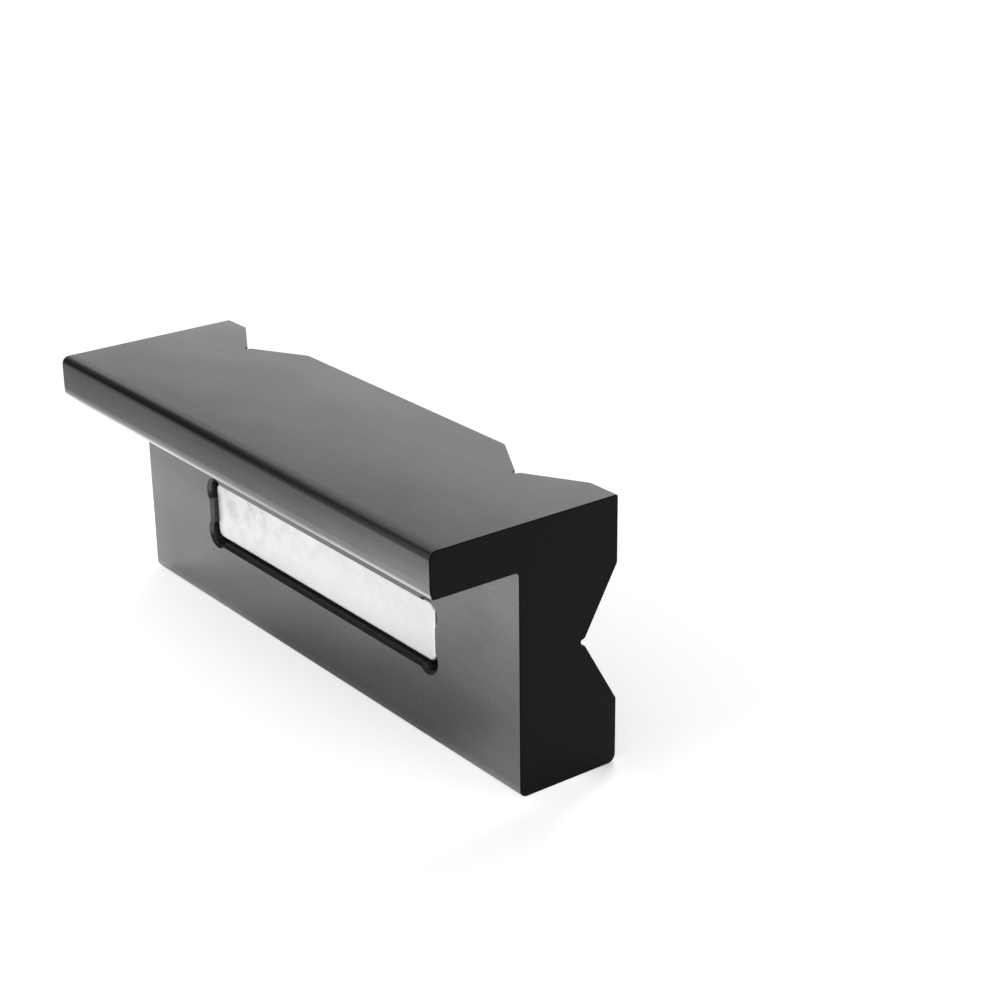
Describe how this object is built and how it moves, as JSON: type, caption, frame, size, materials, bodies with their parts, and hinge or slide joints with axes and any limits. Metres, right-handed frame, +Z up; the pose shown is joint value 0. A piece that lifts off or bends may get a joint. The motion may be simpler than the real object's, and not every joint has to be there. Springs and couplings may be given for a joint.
{
  "type": "vise jaw",
  "caption": "Slip-on aluminium vise jaw with a flange that hooks over the vise, crossing V-grooves in its gripping face and a bar magnet in its back.",
  "frame": {"origin": "middle of the whole outline, on the plane that the jaw stands on", "axes": "+X along the jaw, +Y out of the gripping face, +Z up, towards the flange's top"},
  "size_m": [0.1, 0.0312, 0.0405],
  "materials": {
    "anodised_aluminium": "black anodised, satin, with fine machining marks",
    "nickel_plate": "bright nickel plate, lightly scuffed"
  },
  "bodies": {
    "root": {"jaw_body": "anodised_aluminium", "magnet_bar": "nickel_plate"}
  },
  "joints": []
}
